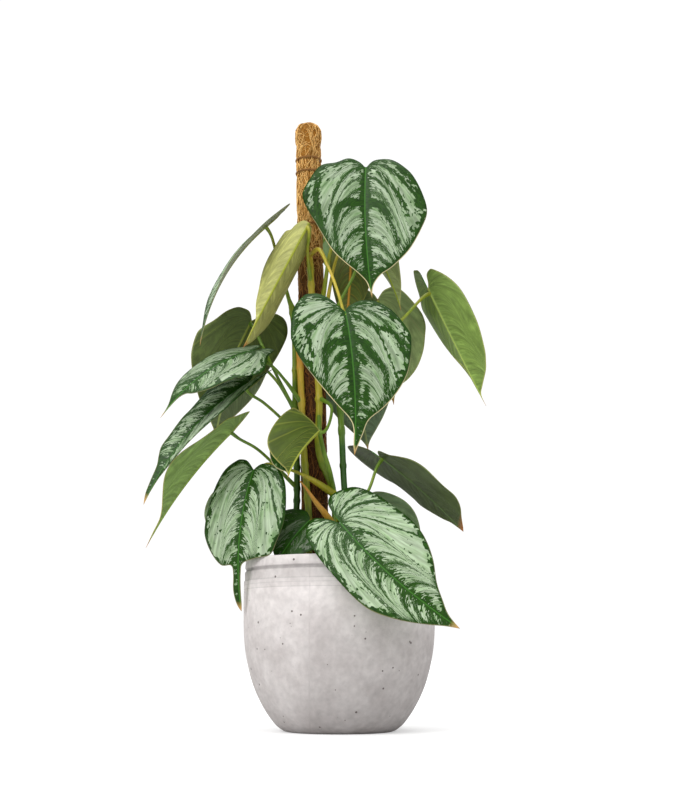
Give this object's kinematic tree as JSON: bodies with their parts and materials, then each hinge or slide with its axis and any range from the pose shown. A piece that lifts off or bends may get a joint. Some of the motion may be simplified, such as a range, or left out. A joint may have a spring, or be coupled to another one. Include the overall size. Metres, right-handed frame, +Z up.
{
  "type": "potted scindapsus",
  "caption": "Climbing aroid house plant with silver and green heart-shaped leaves, trained up a coir pole in a round concrete pot with a stepped rim.",
  "frame": {"origin": "centre of the pot's flat foot, on the surface that the pot stands on", "axes": "+Z up along the pot's axis, -Y toward the front of the plant, +X to the right as seen from the front"},
  "size_m": [0.3368, 0.2266, 0.636],
  "materials": {
    "concrete": "cast concrete, pale grey, matt, with small pores and soft blotches",
    "potting_soil": "dark crumbly potting soil",
    "coir": "wound coconut fibre, rough, golden brown, darker lower down",
    "timber": "plain sawn stake",
    "twine": "thin brown twine",
    "stem": "smooth juicy stem, yellow green to olive, slightly glossy",
    "leaf": "satin blade, silver green patches on dark green above, plain green below",
    "young_leaf": "smooth young blade, yellow green"
  },
  "bodies": {
    "root": {"pot": "concrete", "soil": "potting_soil", "coir_pole": "coir", "pole_stake": "timber", "twine_1": "twine", "twine_2": "twine", "twine_3": "twine", "twine_4": "twine", "stem_1": "stem", "stem_2": "stem", "stem_3": "stem", "stem_4": "stem", "leaf_01": "leaf", "leaf_02": "leaf", "leaf_03": "leaf", "leaf_04": "leaf", "leaf_05": "leaf", "leaf_06": "leaf", "leaf_07": "young_leaf", "leaf_08": "leaf", "leaf_09": "leaf", "leaf_10": "leaf", "leaf_11": "leaf", "leaf_12": "leaf", "leaf_13": "leaf", "leaf_14": "young_leaf", "leaf_15": "young_leaf", "leaf_16": "leaf", "leaf_17": "leaf", "leaf_18": "young_leaf", "leaf_19": "leaf", "leaf_20": "leaf", "leaf_21": "leaf", "leaf_22": "leaf", "leaf_23": "leaf"}
  },
  "joints": []
}
